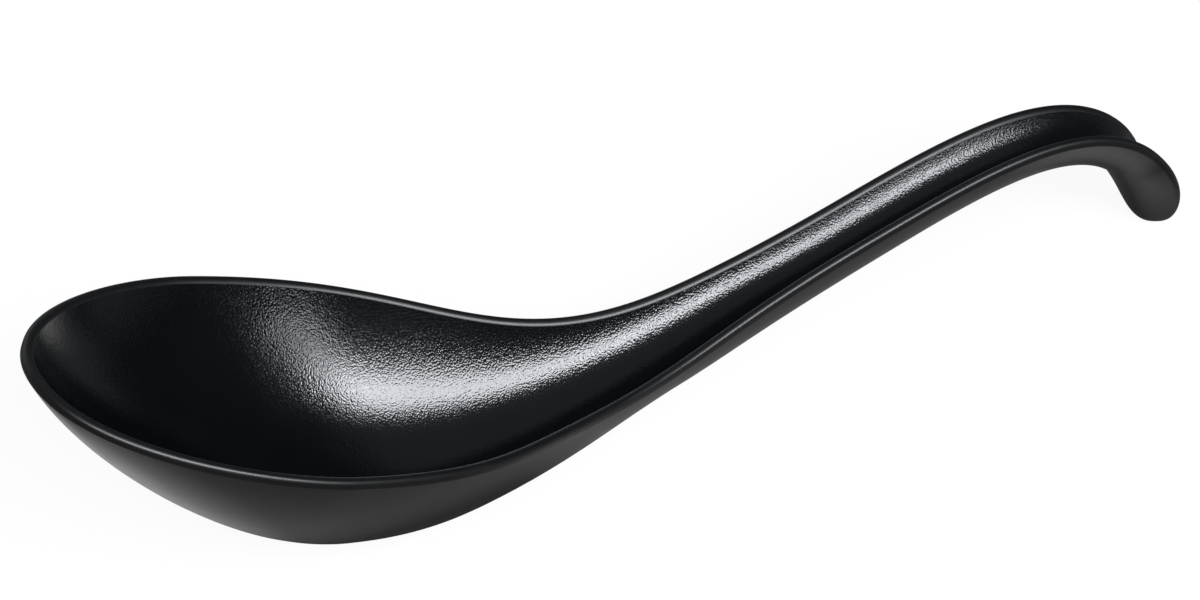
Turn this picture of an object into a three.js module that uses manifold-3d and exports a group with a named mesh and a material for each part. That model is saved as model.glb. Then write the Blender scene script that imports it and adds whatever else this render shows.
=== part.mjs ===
// Hook-handled soup spoon, moulded in one piece.
// Millimetres, +Z up, +X from the bowl towards the hook, lying on its bowl and the end of its hook.
import * as THREE from "three";
import { ParametricGeometry } from "three/addons/geometries/ParametricGeometry.js";
import { mergeVertices } from "three/addons/utils/BufferGeometryUtils.js";
import Module from "manifold-3d";

// Plan: lengths along the spine from the tip of the bowl to the end of the hook, and half widths
const tip_to_widest = 32.7;
const widest_to_neck = 87.5;
const handle_length = 46.7;
const lobe_flare = 6;
const lobe_round = 11.7;
const bowl_half_width = 22.5;
const neck_half_width = 4.8;
const handle_half_width = 4.6;
const lobe_half_width = 5;

// Roundness of the bowl's plan: how far its curves follow their end tangents, as shares of their spans
const tip_roundness = 0.675;
const cheek_roundness = 0.362;
const shoulder_roundness = 0.411;
const neck_roundness = 0.651;

// Bends of the spine in the side view: where each starts, how long it is and how far it turns in degrees
const neck_bend_from_widest = 26.3;
const neck_bend_length = 44.3;
const neck_bend_turn = 34.7;
const crest_bend_from_neck = -1.95;
const crest_bend_length = 61.2;
const crest_bend_turn = -31.5;
const hook_bend_before_handle_end = 26;
const hook_bend_turn = -80.7;

// Depths below the rim outside: the bowl, the throat where its rear slope runs out, the handle and the lobe
const deepest_from_widest = 9.9;
const bowl_depth = 21;
const throat_before_neck = 30.8;
const throat_depth = 7.8;
const handle_depth = 5.95;
const lobe_depth = 6.9;

// Depths inside: the bowl's floor over its underside, and the channel, where the rear slope runs out later
const bowl_floor = 2.8;
const channel_before_neck = 13.5;
const throat_channel = 3.15;
const handle_channel = 2.95;
const lobe_channel = 2.2;

// Roundness of the depth lines: how far their curves follow their end tangents, as shares of their spans
const lip_run = 0.177;
const lip_drop = 0.427;
const floor_front = 0.31;
const floor_rear = 0.618;
const throat_lead = 0.303;
const channel_floor_rear = 0.486;
const channel_lead = 0.588;

// Rim: the flat land all round, its rounded edges, and the upright band under its outer edge
const rim_land = 1.2;
const rim_outer_round = 0.5;
const rim_inner_round = 0.8;
const rim_band = 1.07;

// Fullness of the cross sections: 0 is a parabola, more is a squarer bowl
const outside_fullness = 0.376;
const inside_fullness = 0.3;

// Flats where the spoon lies on a table: how much the table plane takes off the bowl and the hook's end
const bowl_flat = 0.5;
const hook_flat = 0.15;

// Mesh: ribs round each stretch of the outline, and steps over the inside, the rim's roundings and the outside
const rib_counts = { bowl_front: 22, bowl_rear: 30, handle: 15, flare: 5, hook_end: 10 };
const inside_steps = 9;
const inner_round_steps = 3;
const outer_round_steps = 2;
const outside_steps = 10;
const land_step = inside_steps + inner_round_steps + 1;
const band_step = land_step + outer_round_steps + 1;
const profile_steps = band_step + outside_steps;

// Shares at which the ribs' feet start to fan out in the bowl's front and in the hook's end
const front_fan = 0.3;
const hook_fan = 0.4;

const neck_at = tip_to_widest + widest_to_neck;
const handle_end_at = neck_at + handle_length;
const lobe_at = handle_end_at + lobe_flare;
const end_at = lobe_at + lobe_round;
const deepest_at = tip_to_widest + deepest_from_widest;

const point = (s, y) => new THREE.Vector2(s, y);
const curve = (a, b, c, d) => new THREE.CubicBezierCurve(a, b, c, d);

// A curve that leaves its first point level and reaches its last one level
function eased(a, b, lead, trail) {
  const span = b.x - a.x;
  return curve(a, point(a.x + lead * span, a.y), point(b.x - trail * span, b.y), b);
}

// A quarter of an ellipse, from level to upright
const quarter = 0.552;
function quarter_round(a, b) {
  return curve(a, point(a.x + quarter * (b.x - a.x), a.y), point(b.x, b.y + quarter * (a.y - b.y)), b);
}

// Half of the plan outline, from the tip to the end of the hook
const outline = {
  bowl_front: curve(
    point(0, 0),
    point(0, tip_roundness * bowl_half_width),
    point(tip_to_widest * (1 - cheek_roundness), bowl_half_width),
    point(tip_to_widest, bowl_half_width),
  ),
  bowl_rear: eased(
    point(tip_to_widest, bowl_half_width),
    point(neck_at, neck_half_width),
    shoulder_roundness,
    neck_roundness,
  ),
  handle: eased(point(neck_at, neck_half_width), point(handle_end_at, handle_half_width), 1 / 3, 1 / 3),
  flare: eased(point(handle_end_at, handle_half_width), point(lobe_at, lobe_half_width), 1 / 2, 1 / 2),
  hook_end: quarter_round(point(lobe_at, lobe_half_width), point(end_at, 0)),
};

// A place on the outline, moved in from it by a distance. The hook's end stays an ellipse as it shrinks.
function inset(stretch, t, distance) {
  if (stretch === "hook_end") {
    return quarter_round(point(lobe_at, lobe_half_width - distance), point(end_at - distance, 0)).getPoint(t);
  }
  const tangent = outline[stretch].getTangent(t);
  return outline[stretch].getPoint(t).add(point(tangent.y, -tangent.x).multiplyScalar(distance));
}
function outline_points(distance) {
  return Object.keys(outline).flatMap((stretch) => {
    return Array.from({ length: 161 }, (_, k) => inset(stretch, k / 160, distance));
  });
}
const edge_points = outline_points(0);
const land_points = outline_points(rim_land);

// A value along the spine, read between the points of a curve
function along(points, s) {
  let low = 0;
  let high = points.length - 1;
  while (high - low > 1) {
    const middle = (low + high) >> 1;
    if (points[middle].x <= s) low = middle;
    else high = middle;
  }
  const a = points[low];
  const b = points[high];
  return a.y + (b.y - a.y) * THREE.MathUtils.clamp((s - a.x) / Math.max(b.x - a.x, 1e-9), 0, 1);
}

// Depth along the middle of the spoon: down from the lip, over the floor, up the rear slope to the throat,
// along the handle and out at the hook's end
function depth_points(line) {
  const throat_at = neck_at - line.throat_before_neck;
  const fall = (line.handle - line.throat) / (handle_end_at - throat_at);
  const slope = throat_at - deepest_at;
  const start = point(line.land, line.lip);
  const deepest = point(deepest_at, line.floor);
  const throat = point(throat_at, line.throat);
  const handle_end = point(handle_end_at, line.handle);
  const end = end_at - line.land;
  const path = new THREE.CurvePath();
  path.add(curve(
    start,
    point(line.land + lip_run * deepest_at, line.lip + lip_drop * (line.floor - line.lip)),
    point(deepest_at - floor_front * deepest_at, line.floor),
    deepest,
  ));
  path.add(curve(
    deepest,
    point(deepest_at + line.rear * slope, line.floor),
    point(throat_at - line.lead * slope, line.throat - fall * line.lead * slope),
    throat,
  ));
  path.add(new THREE.LineCurve(throat, handle_end));
  path.add(curve(handle_end, point(lobe_at, line.lobe), point(end, line.lobe), point(end, line.lip)));
  return path.getPoints(160);
}
const underside = depth_points({
  land: 0,
  lip: rim_band,
  floor: bowl_depth,
  rear: floor_rear,
  throat_before_neck,
  throat: throat_depth,
  lead: throat_lead,
  handle: handle_depth,
  lobe: lobe_depth,
});
const inside = depth_points({
  land: rim_land,
  lip: 0,
  floor: bowl_depth - bowl_floor,
  rear: channel_floor_rear,
  throat_before_neck: channel_before_neck,
  throat: throat_channel,
  lead: channel_lead,
  handle: handle_channel,
  lobe: lobe_channel,
});

// Height of the underside and of the inside at a place in the plan, below the rim
function section(half_width, y, fullness) {
  const t = Math.min(Math.abs(y) / Math.max(half_width, 1e-6), 1);
  return (1 - t * t) * (1 + fullness * t * t);
}
function outside_height(s, y) {
  const depth = along(underside, s) - rim_band;
  return -rim_band - depth * section(along(edge_points, s), y, outside_fullness);
}
function inside_height(s, y) {
  return -along(inside, s) * section(along(land_points, s), y, inside_fullness);
}

// Direction of the spine in the side view: the neck rises, the crest turns over and the hook curls down
function spine_angle(s) {
  const ease = (start, length) => THREE.MathUtils.smootherstep(s, start, start + length);
  const hook_at = handle_end_at - hook_bend_before_handle_end;
  const curl = THREE.MathUtils.clamp((s - hook_at) / (end_at - hook_at), 0, 1);
  return THREE.MathUtils.degToRad(
    neck_bend_turn * ease(tip_to_widest + neck_bend_from_widest, neck_bend_length)
    + crest_bend_turn * ease(neck_at + crest_bend_from_neck, crest_bend_length)
    + hook_bend_turn * curl * curl,
  );
}

// The spine, walked in short steps
const spine_steps = 1000;
const spine_step = end_at / spine_steps;
const spine = [point(0, 0)];
for (let k = 0; k < spine_steps; k += 1) {
  const angle = spine_angle((k + 0.5) * spine_step);
  spine.push(point(Math.cos(angle), Math.sin(angle)).multiplyScalar(spine_step).add(spine[k]));
}

// A place in the plan, at a height over the rim, carried onto the bent spine
function bent(s, y, height) {
  const k = THREE.MathUtils.clamp(Math.floor(s / spine_step), 0, spine_steps - 1);
  const angle = spine_angle(s);
  const foot = spine[k].clone().lerp(spine[k + 1], s / spine_step - k);
  return new THREE.Vector3(foot.x - height * Math.sin(angle), y, foot.y + height * Math.cos(angle));
}

// The rounding between the land and the inside: where it meets the inside wall, and how steep that is there
function inner_round(stretch, t) {
  const depth = (distance) => {
    const p = inset(stretch, t, distance);
    return -inside_height(p.x, p.y);
  };
  const probe = 0.05;
  const steepness = (distance) => Math.atan((depth(distance + probe) - depth(distance)) / probe);
  let near = rim_land;
  let far = rim_land + rim_inner_round;
  for (let round = 0; round < 30; round += 1) {
    const middle = (near + far) / 2;
    if (depth(middle) < rim_inner_round * (1 - Math.cos(steepness(middle)))) near = middle;
    else far = middle;
  }
  return { distance: far, steepness: steepness(far) };
}

// The ribs along one side: each runs from its foot on the spine to its place on the outline
function rib_foot(stretch, share, edge) {
  if (stretch === "bowl_front") return tip_to_widest * THREE.MathUtils.lerp(front_fan, 1, share);
  if (stretch === "hook_end") return lobe_at + lobe_round * hook_fan * share;
  return edge.x;
}
const ribs = Object.keys(outline).flatMap((stretch) => {
  const count = rib_counts[stretch];
  const last = stretch === "hook_end" ? count + 1 : count;
  return Array.from({ length: last }, (_, k) => {
    const t = outline[stretch].getUtoTmapping(k / count);
    const foot = point(rib_foot(stretch, k / count, outline[stretch].getPoint(t)), 0);
    return { stretch, t, foot, lip: inner_round(stretch, t) };
  });
});

// One rib's profile: up the inside from the spine, over the rim, and back along the underside
function rib_point(rib, j) {
  const at = (distance) => inset(rib.stretch, rib.t, distance);
  const place = (p, height) => bent(p.x, Math.max(p.y, 0), height);
  if (j <= inside_steps) {
    const p = rib.foot.clone().lerp(at(rib.lip.distance), Math.sin((Math.PI / 2) * (j / inside_steps)));
    return place(p, inside_height(p.x, p.y));
  }
  if (j < land_step) {
    const a = rib.lip.steepness * (1 - (j - inside_steps) / inner_round_steps);
    const back = rim_inner_round * (Math.sin(rib.lip.steepness) - Math.sin(a));
    return place(at(rib.lip.distance - back), rim_inner_round * (Math.cos(a) - 1));
  }
  if (j < band_step) {
    const a = (Math.PI / 2) * ((j - land_step) / outer_round_steps);
    return place(at(rim_outer_round * (1 - Math.sin(a))), rim_outer_round * (Math.cos(a) - 1));
  }
  const p = rib.foot.clone().lerp(at(0), Math.cos((Math.PI / 2) * ((j - band_step) / outside_steps)));
  return place(p, outside_height(p.x, p.y));
}

// The table under the spoon, through the lowest places of the bowl and of the hook's end
const keel = Array.from({ length: 6001 }, (_, k) => {
  const s = (k / 6000) * neck_at;
  return bent(s, 0, outside_height(s, 0));
});
const hook_profile = Array.from({ length: profile_steps + 1 }, (_, j) => rib_point(ribs.at(-1), j));
let table_angle = 0;
let bowl_contact = keel[0];
for (let round = 0; round < 40; round += 1) {
  const height = (p) => p.z * Math.cos(table_angle) - p.x * Math.sin(table_angle);
  const lowest = (points) => points.reduce((a, b) => (height(b) < height(a) ? b : a));
  const hook_contact = lowest(hook_profile);
  bowl_contact = lowest(keel);
  table_angle = Math.atan2(
    hook_contact.z + hook_flat - bowl_contact.z - bowl_flat,
    hook_contact.x - bowl_contact.x,
  );
}

// The moulding as one surface: round the outline and over the ribs' profiles
const sides = ribs.length - 1;
const skin = new ParametricGeometry(
  (u, v, target) => {
    const i = Math.round(u * 2 * sides);
    const j = Math.round(v * profile_steps);
    target.copy(rib_point(ribs[i <= sides ? i : 2 * sides - i], j));
    if (i > sides) target.y *= -1;
  },
  2 * sides,
  profile_steps,
);
skin.translate(-bowl_contact.x, 0, -bowl_contact.z);
skin.rotateY(table_angle);
skin.translate(0, 0, -bowl_flat);

// The table plane trims the two flats
const wasm = await Module();
wasm.setup();
function solid(geometry) {
  const bare = geometry.clone();
  bare.deleteAttribute("normal");
  bare.deleteAttribute("uv");
  const merged = mergeVertices(bare, 1e-4);
  return new wasm.Manifold(new wasm.Mesh({
    numProp: 3,
    vertProperties: new Float32Array(merged.attributes.position.array),
    triVerts: new Uint32Array(merged.index.array),
  }));
}
const table = new THREE.BoxGeometry(2 * end_at, 4 * bowl_half_width, bowl_depth);
table.translate(0, 0, -bowl_depth / 2);
const trimmed = solid(skin).subtract(solid(table)).getMesh();
const shape = new THREE.BufferGeometry();
shape.setAttribute("position", new THREE.BufferAttribute(trimmed.vertProperties, 3));
shape.setIndex(new THREE.BufferAttribute(trimmed.triVerts, 1));
shape.computeVertexNormals();

const black = new THREE.MeshStandardMaterial({ color: 0x1b1d20, roughness: 0.5, metalness: 0 });
const spoon = new THREE.Mesh(shape, black);
spoon.name = "spoon";
const part = new THREE.Group();
part.add(spoon);
export default part;
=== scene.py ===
import bisect
import math

import bmesh
import bpy
from mathutils import Matrix, Vector


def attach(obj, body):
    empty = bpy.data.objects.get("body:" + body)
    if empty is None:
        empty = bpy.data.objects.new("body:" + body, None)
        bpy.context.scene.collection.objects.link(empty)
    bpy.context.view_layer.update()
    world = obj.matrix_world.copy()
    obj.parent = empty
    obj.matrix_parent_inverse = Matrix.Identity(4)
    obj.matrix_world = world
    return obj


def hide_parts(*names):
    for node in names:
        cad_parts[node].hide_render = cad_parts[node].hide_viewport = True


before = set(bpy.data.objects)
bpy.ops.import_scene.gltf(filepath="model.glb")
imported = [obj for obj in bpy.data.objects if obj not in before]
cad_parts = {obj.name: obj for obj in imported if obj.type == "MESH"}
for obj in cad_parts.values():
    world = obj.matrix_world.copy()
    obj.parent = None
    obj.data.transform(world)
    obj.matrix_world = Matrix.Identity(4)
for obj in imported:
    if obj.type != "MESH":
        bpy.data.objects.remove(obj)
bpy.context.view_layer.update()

# Plan of the moulding, in millimetres along the spine from the bowl's tip to the hook's end
tip_to_widest = 32.7
widest_to_neck = 87.5
handle_length = 46.7
lobe_flare = 6
lobe_round = 11.7
bowl_half_width = 22.5
neck_half_width = 4.8
handle_half_width = 4.6
lobe_half_width = 5
tip_roundness = 0.675
cheek_roundness = 0.362
shoulder_roundness = 0.411
neck_roundness = 0.651

# Bends of the spine in the side view: start, length and turn in degrees
neck_bend_from_widest = 26.3
neck_bend_length = 44.3
neck_bend_turn = 34.7
crest_bend_from_neck = -1.95
crest_bend_length = 61.2
crest_bend_turn = -31.5
hook_bend_before_handle_end = 26
hook_bend_turn = -80.7

# Depths below the rim outside
deepest_from_widest = 9.9
bowl_depth = 21
throat_before_neck = 30.8
throat_depth = 7.8
handle_depth = 5.95
lobe_depth = 6.9

# Depths inside
bowl_floor = 2.8
channel_before_neck = 13.5
throat_channel = 3.15
handle_channel = 2.95
lobe_channel = 2.2

# Roundness of the depth lines and fullness of the cross sections
lip_run = 0.177
lip_drop = 0.427
floor_front = 0.31
floor_rear = 0.618
throat_lead = 0.303
channel_floor_rear = 0.486
channel_lead = 0.588
outside_fullness = 0.376
inside_fullness = 0.3

# Rim land, its roundings and the upright band under it, and the flats that the table takes off
rim_land = 1.2
rim_outer_round = 0.5
rim_inner_round = 0.8
rim_band = 1.07
bowl_flat = 0.5
hook_flat = 0.15

# Ribs round one side of the spoon, and rows of the skin from the inside over the rim to the underside
rib_counts = {"bowl_front": 84, "bowl_rear": 116, "handle": 60, "flare": 16, "hook_end": 34}
inside_rows = 34
inner_round_rows = 8
land_rows = 3
outer_round_rows = 6
band_rows = 3
outside_rows = 32
front_fan = 0.3
hook_fan = 0.4
finish_of_row = {"inside": 0, "inner_round": 1, "land": 1, "outer_round": 1, "band": 2, "outside": 2}

# Fineness of the curves, of the spine and of the searches on them
circle_pull = 0.552
curve_steps = 160
spine_steps = 1000
keel_steps = 6000
halvings = 30
settling_rounds = 40
slope_probe = 0.05
least_step = 1e-9
least_width = 1e-6

# Making of the mesh: a flat sheet of ribs and rows, merged at its seams and cut by the table
sheet_half = 0.5
merge_gap = 0.0001
cut_tolerance = 1e-8
metres_per_millimetre = 0.001

neck_at = tip_to_widest + widest_to_neck
handle_end_at = neck_at + handle_length
lobe_at = handle_end_at + lobe_flare
end_at = lobe_at + lobe_round
deepest_at = tip_to_widest + deepest_from_widest


# Curves in the plan and in the side view
def on_curve(curve, share):
    start, lead, trail, end = curve
    rest = 1 - share
    first_half = start * rest ** 3 + lead * 3 * rest * rest * share
    return first_half + trail * 3 * rest * share * share + end * share ** 3


def heading(curve, share):
    start, lead, trail, end = curve
    rest = 1 - share
    first_half = (lead - start) * rest * rest + (trail - lead) * 2 * rest * share
    return (first_half + (end - trail) * share * share).normalized()


def eased(start, end, lead, trail):
    span = end[0] - start[0]
    leaving = Vector((start[0] + lead * span, start[1]))
    arriving = Vector((end[0] - trail * span, end[1]))
    return Vector(start), leaving, arriving, Vector(end)


def quarter_round(start, end):
    leaving = Vector((start[0] + circle_pull * (end[0] - start[0]), start[1]))
    arriving = Vector((end[0], end[1] + circle_pull * (start[1] - end[1])))
    return Vector(start), leaving, arriving, Vector(end)


outline = {
    "bowl_front": (
        Vector((0, 0)),
        Vector((0, tip_roundness * bowl_half_width)),
        Vector((tip_to_widest * (1 - cheek_roundness), bowl_half_width)),
        Vector((tip_to_widest, bowl_half_width)),
    ),
    "bowl_rear": eased(
        (tip_to_widest, bowl_half_width), (neck_at, neck_half_width), shoulder_roundness, neck_roundness
    ),
    "handle": eased((neck_at, neck_half_width), (handle_end_at, handle_half_width), 1 / 3, 1 / 3),
    "flare": eased((handle_end_at, handle_half_width), (lobe_at, lobe_half_width), 1 / 2, 1 / 2),
    "hook_end": quarter_round((lobe_at, lobe_half_width), (end_at, 0)),
}


# A place on the outline, moved in from it by a distance
def inset(stretch, share, distance):
    if stretch == "hook_end":
        smaller = quarter_round((lobe_at, lobe_half_width - distance), (end_at - distance, 0))
        return on_curve(smaller, share)
    ahead = heading(outline[stretch], share)
    return on_curve(outline[stretch], share) + Vector((ahead.y, -ahead.x)) * distance


class Line:
    """A value read along the spine between points of a curve."""

    def __init__(self, points):
        self.at = [point.x for point in points]
        self.value = [point.y for point in points]

    def read(self, station):
        k = min(max(bisect.bisect_right(self.at, station), 1), len(self.at) - 1)
        before, after = self.at[k - 1], self.at[k]
        share = min(max((station - before) / max(after - before, least_step), 0), 1)
        return self.value[k - 1] + (self.value[k] - self.value[k - 1]) * share


def outline_line(distance):
    shares = [k / curve_steps for k in range(curve_steps + 1)]
    return Line([inset(stretch, share, distance) for stretch in outline for share in shares])


# Depth along the middle: from the lip over the floor, up the rear slope, along the handle, out at the hook
def depth_line(land, lip, floor, rear, throat_at, throat, lead, handle, lobe):
    fall = (handle - throat) / (handle_end_at - throat_at)
    slope = throat_at - deepest_at
    end = end_at - land
    curves = [
        (
            Vector((land, lip)),
            Vector((land + lip_run * deepest_at, lip + lip_drop * (floor - lip))),
            Vector((deepest_at - floor_front * deepest_at, floor)),
            Vector((deepest_at, floor)),
        ),
        (
            Vector((deepest_at, floor)),
            Vector((deepest_at + rear * slope, floor)),
            Vector((throat_at - lead * slope, throat - fall * lead * slope)),
            Vector((throat_at, throat)),
        ),
        (
            Vector((handle_end_at, handle)),
            Vector((lobe_at, lobe)),
            Vector((end, lobe)),
            Vector((end, lip)),
        ),
    ]
    shares = [k / curve_steps for k in range(curve_steps + 1)]
    return Line([on_curve(curve, share) for curve in curves for share in shares])


edge_line = outline_line(0)
land_line = outline_line(rim_land)
underside = depth_line(
    land=0,
    lip=rim_band,
    floor=bowl_depth,
    rear=floor_rear,
    throat_at=neck_at - throat_before_neck,
    throat=throat_depth,
    lead=throat_lead,
    handle=handle_depth,
    lobe=lobe_depth,
)
inside = depth_line(
    land=rim_land,
    lip=0,
    floor=bowl_depth - bowl_floor,
    rear=channel_floor_rear,
    throat_at=neck_at - channel_before_neck,
    throat=throat_channel,
    lead=channel_lead,
    handle=handle_channel,
    lobe=lobe_channel,
)


# Heights of the inside and of the underside, measured from the rim
def section(half_width, y, fullness):
    across = min(abs(y) / max(half_width, least_width), 1)
    return (1 - across * across) * (1 + fullness * across * across)


def outside_height(station, y):
    below_band = underside.read(station) - rim_band
    return -rim_band - below_band * section(edge_line.read(station), y, outside_fullness)


def inside_height(station, y):
    return -inside.read(station) * section(land_line.read(station), y, inside_fullness)


# The bent spine
def smooth_turn(station, start, length):
    share = min(max((station - start) / length, 0), 1)
    return share * share * share * (share * (6 * share - 15) + 10)


def spine_angle(station):
    hook_at = handle_end_at - hook_bend_before_handle_end
    curl = min(max((station - hook_at) / (end_at - hook_at), 0), 1)
    return math.radians(
        neck_bend_turn * smooth_turn(station, tip_to_widest + neck_bend_from_widest, neck_bend_length)
        + crest_bend_turn * smooth_turn(station, neck_at + crest_bend_from_neck, crest_bend_length)
        + hook_bend_turn * curl * curl
    )


spine_step = end_at / spine_steps
spine = [Vector((0, 0))]
for k in range(spine_steps):
    angle = spine_angle((k + 0.5) * spine_step)
    spine.append(spine[-1] + Vector((math.cos(angle), math.sin(angle))) * spine_step)


def bent(station, y, height):
    k = min(max(int(station / spine_step), 0), spine_steps - 1)
    angle = spine_angle(station)
    foot = spine[k].lerp(spine[k + 1], station / spine_step - k)
    return Vector((foot.x - height * math.sin(angle), y, foot.y + height * math.cos(angle)))


# Where a rib starts on the middle line
def rib_foot(stretch, share, edge):
    if stretch == "bowl_front":
        return tip_to_widest * (front_fan + (1 - front_fan) * share)
    if stretch == "hook_end":
        return lobe_at + lobe_round * hook_fan * share
    return edge.x


# Where the rounding under the land meets the inside wall, as a distance from the outline and a steepness
def inner_round(stretch, share):
    def depth(distance):
        point = inset(stretch, share, distance)
        return -inside_height(point.x, point.y)

    def steepness(distance):
        return math.atan((depth(distance + slope_probe) - depth(distance)) / slope_probe)

    near, far = rim_land, rim_land + rim_inner_round
    for _ in range(halvings):
        middle = (near + far) / 2
        if depth(middle) < rim_inner_round * (1 - math.cos(steepness(middle))):
            near = middle
        else:
            far = middle
    return far, steepness(far)


# The ribs of one side and the rows of the skin
ribs = []
for stretch, count in rib_counts.items():
    for k in range(count + (stretch == "hook_end")):
        edge = on_curve(outline[stretch], k / count)
        foot = Vector((rib_foot(stretch, k / count, edge), 0))
        ribs.append((stretch, k / count, foot, inner_round(stretch, k / count)))

rows = []
rows += [("inside", math.sin(math.pi / 2 * k / inside_rows)) for k in range(inside_rows + 1)]
rows += [("inner_round", 1 - k / inner_round_rows) for k in range(1, inner_round_rows + 1)]
rows += [("land", k / land_rows) for k in range(1, land_rows)]
rows += [("outer_round", math.pi / 2 * k / outer_round_rows) for k in range(outer_round_rows + 1)]
rows += [("band", k / band_rows) for k in range(1, band_rows)]
rows += [("outside", math.cos(math.pi / 2 * k / outside_rows)) for k in range(outside_rows + 1)]


def skin_point(rib, row):
    stretch, share, foot, (lip, steepness) = rib
    kind, value = row
    land_edge = lip - rim_inner_round * math.sin(steepness)
    if kind == "inside":
        point = foot.lerp(inset(stretch, share, lip), value)
        height = inside_height(point.x, point.y)
    elif kind == "inner_round":
        point = inset(stretch, share, land_edge + rim_inner_round * math.sin(steepness * value))
        height = rim_inner_round * (math.cos(steepness * value) - 1)
    elif kind == "land":
        point = inset(stretch, share, land_edge + (rim_outer_round - land_edge) * value)
        height = 0
    elif kind == "outer_round":
        point = inset(stretch, share, rim_outer_round * (1 - math.sin(value)))
        height = rim_outer_round * (math.cos(value) - 1)
    elif kind == "band":
        point = inset(stretch, share, 0)
        height = -rim_outer_round - (rim_band - rim_outer_round) * value
    else:
        point = foot.lerp(inset(stretch, share, 0), value)
        height = outside_height(point.x, point.y)
    return bent(point.x, max(point.y, 0), height)


# The spoon's pose, lying on the lowest places of the bowl and of the hook's end
def lie_on_table():
    def height(point):
        return point.z * math.cos(tilt) - point.x * math.sin(tilt)

    stations = [neck_at * k / keel_steps for k in range(keel_steps + 1)]
    keel = [bent(station, 0, outside_height(station, 0)) for station in stations]
    hook = [skin_point(ribs[-1], row) for row in rows]
    tilt = 0.0
    for _ in range(settling_rounds):
        touch = min(keel, key=height)
        end = min(hook, key=height)
        tilt = math.atan2(end.z + hook_flat - touch.z - bowl_flat, end.x - touch.x)
    shrink = Matrix.Scale(metres_per_millimetre, 4)
    down = Matrix.Translation((0, 0, -bowl_flat))
    return shrink @ down @ Matrix.Rotation(tilt, 4, "Y") @ Matrix.Translation(-touch)


def everything(bm):
    return bm.verts[:] + bm.edges[:] + bm.faces[:]


# Takes off what would sink into the table, and closes the two cuts with flats
def cut_flats(bm):
    table = {"plane_co": (0, 0, 0), "plane_no": (0, 0, 1)}
    bmesh.ops.bisect_plane(bm, geom=everything(bm), dist=cut_tolerance, clear_inner=True, **table)
    cut = [edge for edge in bm.edges if edge.is_boundary]
    for edge in cut:
        edge.smooth = False
    flats = bmesh.ops.holes_fill(bm, edges=cut)["faces"]
    for face in flats:
        face.material_index = finish_of_row["outside"]
        face.smooth = False
    bmesh.ops.recalc_face_normals(bm, faces=bm.faces[:])
    bmesh.ops.triangulate(bm, faces=flats)


def finished_object(name, bm):
    mesh = bpy.data.meshes.new(name)
    bm.to_mesh(mesh)
    bm.free()
    made = bpy.data.objects.new(name, mesh)
    bpy.context.scene.collection.objects.link(made)
    return made


def mould_spoon():
    bm = bmesh.new()
    across = len(ribs) - 1
    down = len(rows) - 1
    bmesh.ops.create_grid(bm, x_segments=across, y_segments=down, size=sheet_half)
    for face in bm.faces:
        kind, _ = rows[max(round((vert.co.y + sheet_half) * down) for vert in face.verts)]
        face.material_index = finish_of_row[kind]
        face.smooth = True
    for vert in bm.verts:
        rib = ribs[round((vert.co.x + sheet_half) * across)]
        row = rows[round((vert.co.y + sheet_half) * down)]
        vert.co = skin_point(rib, row)
    bmesh.ops.mirror(bm, geom=everything(bm), axis="Y", merge_dist=merge_gap)
    bmesh.ops.remove_doubles(bm, verts=bm.verts[:], dist=merge_gap)
    bmesh.ops.transform(bm, matrix=lie_on_table(), verts=bm.verts[:])
    bmesh.ops.recalc_face_normals(bm, faces=bm.faces[:])
    cut_flats(bm)
    return finished_object("spoon_skin", bm)


# Finishes: the range that most of a noise lies in, how much the pebbles melt together, and melamine's gloss
noise_low = 0.3
noise_high = 0.7
pebble_smoothness = 0.6
melamine_ior = 1.68


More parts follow.
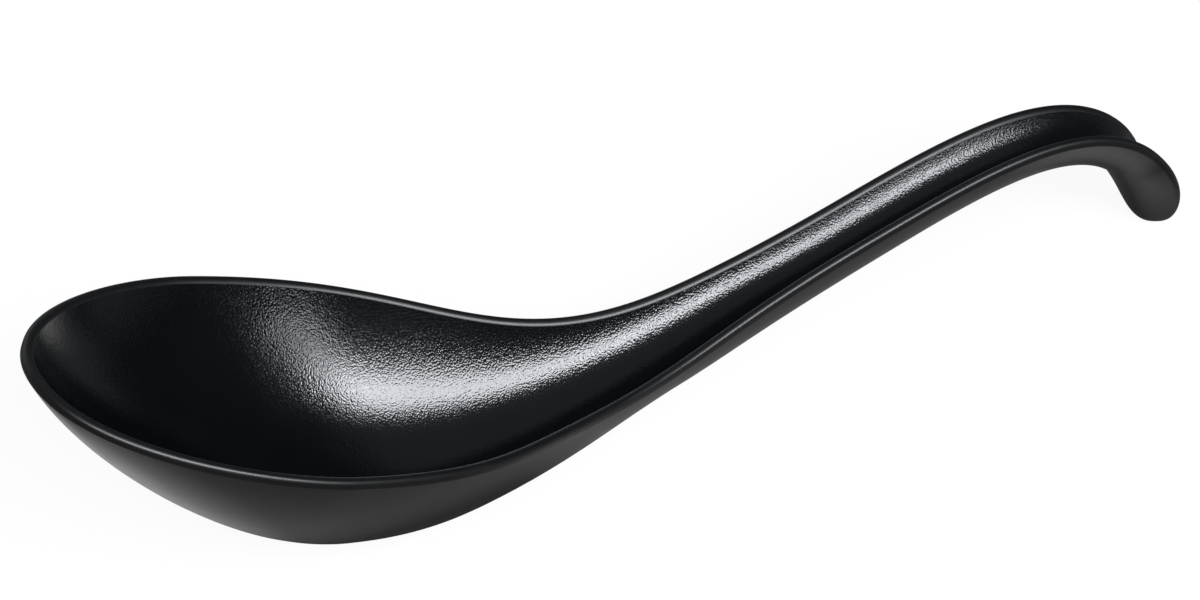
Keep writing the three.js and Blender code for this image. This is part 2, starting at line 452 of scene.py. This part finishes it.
class Finish:
    """Nodes of one finish, on the piece's own coordinates in metres."""

    def __init__(self, name):
        self.material = bpy.data.materials.new(name)
        self.material.use_nodes = True
        self.nodes = self.material.node_tree.nodes
        self.links = self.material.node_tree.links
        self.shader = self.nodes["Principled BSDF"]
        self.place = self.nodes.new("ShaderNodeTexCoord").outputs["Object"]
        self.normal = None

    def noise(self, scale, detail):
        node = self.nodes.new("ShaderNodeTexNoise")
        node.inputs["Scale"].default_value = scale
        node.inputs["Detail"].default_value = detail
        self.links.new(self.place, node.inputs["Vector"])
        return node.outputs["Fac"]

    def pebbles(self, scale):
        node = self.nodes.new("ShaderNodeTexVoronoi")
        node.feature = "SMOOTH_F1"
        node.inputs["Scale"].default_value = scale
        node.inputs["Smoothness"].default_value = pebble_smoothness
        self.links.new(self.place, node.inputs["Vector"])
        return node.outputs["Distance"]

    def along(self):
        node = self.nodes.new("ShaderNodeSeparateXYZ")
        self.links.new(self.place, node.inputs["Vector"])
        return node.outputs["X"]

    def ranged(self, value, low, high, start=noise_low, end=noise_high):
        node = self.nodes.new("ShaderNodeMapRange")
        node.inputs["From Min"].default_value = start
        node.inputs["From Max"].default_value = end
        node.inputs["To Min"].default_value = low
        node.inputs["To Max"].default_value = high
        self.links.new(value, node.inputs["Value"])
        return node.outputs["Result"]

    def oval(self, centre, radii, outside, inside, full_at):
        shape = self.nodes.new("ShaderNodeMapping")
        shape.vector_type = "TEXTURE"
        shape.inputs["Location"].default_value = (*centre, 0)
        shape.inputs["Scale"].default_value = (*radii, 1)
        self.links.new(self.place, shape.inputs["Vector"])
        fall = self.nodes.new("ShaderNodeTexGradient")
        fall.gradient_type = "SPHERICAL"
        self.links.new(shape.outputs["Vector"], fall.inputs["Vector"])
        return self.ranged(fall.outputs["Fac"], outside, inside, start=0, end=full_at)

    def joined(self, operation, first, second):
        node = self.nodes.new("ShaderNodeMath")
        node.operation = operation
        self.links.new(first, node.inputs[0])
        self.links.new(second, node.inputs[1])
        return node.outputs[0]

    def colour(self, value, dark, light):
        node = self.nodes.new("ShaderNodeValToRGB")
        first, last = node.color_ramp.elements
        first.position = noise_low
        first.color = (*dark, 1)
        last.position = noise_high
        last.color = (*light, 1)
        self.links.new(value, node.inputs["Fac"])
        self.links.new(node.outputs["Color"], self.shader.inputs["Base Color"])

    def roughness(self, value):
        self.links.new(value, self.shader.inputs["Roughness"])

    def bump(self, height, depth, strength):
        node = self.nodes.new("ShaderNodeBump")
        node.inputs["Strength"].default_value = strength
        if isinstance(depth, float):
            node.inputs["Distance"].default_value = depth
        else:
            self.links.new(depth, node.inputs["Distance"])
        self.links.new(height, node.inputs["Height"])
        if self.normal:
            self.links.new(self.normal, node.inputs["Normal"])
        self.normal = node.outputs["Normal"]
        self.links.new(self.normal, self.shader.inputs["Normal"])


def melamine(name):
    finish = Finish(name)
    finish.shader.inputs["IOR"].default_value = melamine_ior
    return finish


# Pebbled grain, faint at the bowl's tip and deeper towards the handle
def grained_inside():
    finish = melamine("grained_inside")
    clouds = finish.noise(scale=180, detail=3)
    finish.colour(clouds, dark=(0.0010, 0.0016, 0.0020), light=(0.0016, 0.0024, 0.0030))
    finish.roughness(finish.ranged(finish.along(), low=0.15, high=0.21, start=0.02, end=0.06))
    grain_depth = finish.ranged(finish.along(), low=0.000014, high=0.000043, start=-0.045, end=0.050)
    finish.bump(finish.noise(scale=1600, detail=2), depth=0.00005, strength=0.2)
    finish.bump(finish.pebbles(scale=4200), depth=grain_depth, strength=0.9)
    return finish.material


# Rim without grain, duller than the rest
def smooth_rim():
    finish = melamine("smooth_rim")
    clouds = finish.noise(scale=150, detail=3)
    finish.colour(clouds, dark=(0.0016, 0.0020, 0.0024), light=(0.0024, 0.0028, 0.0032))
    finish.roughness(finish.ranged(finish.noise(scale=500, detail=3), low=0.38, high=0.42))
    finish.bump(finish.noise(scale=2600, detail=2), depth=0.00002, strength=0.2)
    return finish.material


# Smooth outside, which mirrors the table softly
def matte_outside():
    finish = melamine("matte_outside")
    clouds = finish.noise(scale=120, detail=3)
    finish.colour(clouds, dark=(0.0024, 0.0024, 0.0023), light=(0.0036, 0.0036, 0.0034))
    finish.roughness(finish.ranged(finish.noise(scale=420, detail=3), low=0.19, high=0.24))
    finish.bump(finish.noise(scale=2200, detail=2), depth=0.00002, strength=0.25)
    return finish.material


spoon = mould_spoon()
for material in (grained_inside(), smooth_rim(), matte_outside()):
    spoon.data.materials.append(material)
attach(spoon, "root")
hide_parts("spoon")


# White for the eye: how much of the ground's white each kind of ray sees
def whiteness(nodes, links, sheen):
    path = nodes.new("ShaderNodeLightPath")
    seen = None
    for ray, share in (("Is Camera Ray", 1.0), ("Is Transmission Ray", 1.0), ("Is Glossy Ray", sheen)):
        add = nodes.new("ShaderNodeMath")
        add.operation = "MULTIPLY_ADD"
        links.new(path.outputs[ray], add.inputs[0])
        add.inputs[1].default_value = share
        add.inputs[2].default_value = 0
        if seen:
            links.new(seen, add.inputs[2])
        seen = add.outputs[0]
    return seen


# Painted reflection of the table for the spoon's gloss: a dim painted pool of light, painted contact
# shadows where the spoon touches, and three painted patches of light
def painted_table_reflection(finish):
    # Painted light and painted contact shadows, laid on the table for glossy rays only
    painted_pool = finish.oval((0.0, 0.0), (0.180, 0.032), outside=0.06, inside=0.20, full_at=0.55)
    bowl_painted_shadow = finish.oval((-0.008, 0.0), (0.028, 0.020), outside=1.0, inside=0.0, full_at=0.4)
    hook_painted_shadow = finish.oval((0.105, 0.002), (0.012, 0.010), outside=1.0, inside=0.2, full_at=0.8)
    painted_tip_light = finish.oval((-0.052, 0.006), (0.028, 0.024), outside=0.0, inside=0.5, full_at=1.0)
    painted_rear_light = finish.oval((0.020, 0.032), (0.120, 0.024), outside=0.0, inside=0.8, full_at=0.8)
    painted_hook_light = finish.oval((0.102, -0.010), (0.012, 0.009), outside=0.0, inside=0.42, full_at=1.0)
    painted_contact_shadows = finish.joined("MULTIPLY", bowl_painted_shadow, hook_painted_shadow)
    painted_shaded_pool = finish.joined("MULTIPLY", painted_pool, painted_contact_shadows)
    painted_light_patches = finish.joined("ADD", painted_tip_light, finish.joined("ADD", painted_rear_light, painted_hook_light))
    return finish.joined("ADD", painted_shaded_pool, painted_light_patches)


# Paper white with a faint shadow to the eye, dark grey to the lamps, and painted light and shade where the
# spoon's gloss reflects it
def white_table(grey, shadow):
    finish = Finish("white_table")
    inputs = finish.shader.inputs
    inputs["Roughness"].default_value = 0.9
    inputs["Specular IOR Level"].default_value = 0.0
    inputs["Emission Color"].default_value = (1, 1, 1, 1)
    seen = whiteness(finish.nodes, finish.links, sheen=0.0)
    glossy = finish.nodes.new("ShaderNodeLightPath").outputs["Is Glossy Ray"]
    white = finish.ranged(seen, low=0.0, high=1 - shadow, start=0, end=1)
    # Glossy rays alone see the painted pools of light and painted contact shadows
    painted_reflection = finish.joined("MULTIPLY", glossy, painted_table_reflection(finish))
    finish.links.new(finish.ranged(seen, low=grey, high=shadow, start=0, end=1), inputs["Base Color"])
    finish.links.new(finish.joined("ADD", white, painted_reflection), inputs["Emission Strength"])
    return finish.material


# Table top, dropped a hair below the spoon's flats so that the two don't coincide
def lay_table(reach, drop, grey, shadow):
    bm = bmesh.new()
    bmesh.ops.create_grid(bm, x_segments=8, y_segments=8, size=reach)
    bmesh.ops.translate(bm, vec=(0, 0, -drop), verts=bm.verts[:])
    top = finished_object("table_top", bm)
    top.data.materials.append(white_table(grey, shadow))


# White surround to the eye, nearly dark to everything else
def surround(level, sheen):
    world = bpy.data.worlds.new("studio")
    world.use_nodes = True
    nodes = world.node_tree.nodes
    links = world.node_tree.links
    background = nodes["Background"].inputs
    background["Color"].default_value = (1, 1, 1, 1)
    strength = nodes.new("ShaderNodeMapRange")
    strength.inputs["To Min"].default_value = level
    strength.inputs["To Max"].default_value = 1.0
    links.new(whiteness(nodes, links, sheen), strength.inputs["Value"])
    links.new(strength.outputs["Result"], background["Strength"])
    bpy.context.scene.world = world


# Lamps and camera: a bearing from the spoon's near side and a height over the table, both in degrees
lamp_aim = Vector((0.02, 0, 0.02))
lamp_colour = (0.93, 0.955, 1.0)


def direction(bearing, height):
    turn = math.radians(bearing)
    lift = math.radians(height)
    return Vector((math.sin(turn) * math.cos(lift), -math.cos(turn) * math.cos(lift), math.sin(lift)))


def hang_softbox(name, bearing, height, distance, size, power):
    place = lamp_aim + direction(bearing, height) * distance
    light = bpy.data.lights.new(name, "AREA")
    light.shape = "RECTANGLE"
    light.size, light.size_y = size
    light.energy = power
    light.color = lamp_colour
    lamp = bpy.data.objects.new(name, light)
    lamp.location = place
    lamp.rotation_euler = (lamp_aim - place).to_track_quat("-Z", "Y").to_euler()
    bpy.context.scene.collection.objects.link(lamp)


def set_camera(bearing, height, roll, target, distance, lens):
    data = bpy.data.cameras.new("camera")
    data.sensor_fit = "HORIZONTAL"
    data.sensor_width = 36
    data.lens = lens
    data.clip_start = 0.01
    camera = bpy.data.objects.new("camera", data)
    back = direction(bearing, height)
    level = back.to_track_quat("Z", "Y").to_matrix().to_4x4()
    turn = level @ Matrix.Rotation(math.radians(roll), 4, "Z")
    camera.matrix_world = Matrix.Translation(Vector(target) + back * distance) @ turn
    bpy.context.scene.collection.objects.link(camera)
    bpy.context.scene.camera = camera


lay_table(reach=3.0, drop=0.00005, grey=0.05, shadow=0.08)
surround(level=0.012, sheen=0.012)
hang_softbox("front_softbox", bearing=6, height=40.8, distance=2, size=(1.48, 0.7), power=37)
hang_softbox("left_softbox", bearing=-41, height=41.8, distance=2, size=(1.55, 0.78), power=37)
hang_softbox("right_strip", bearing=23, height=25.2, distance=2, size=(0.3, 0.85), power=4.4)
hang_softbox("overhead_panel", bearing=0, height=90, distance=1.5, size=(2.2, 2.2), power=1.8)
hang_softbox("rear_panel", bearing=180, height=14, distance=2, size=(2.6, 0.6), power=3)
set_camera(
    bearing=-31.23, height=38.64, roll=0.70, target=(0.01934, 0, 0.0209), distance=0.55, lens=132.14
)
bpy.context.scene.view_settings.view_transform = "Standard"
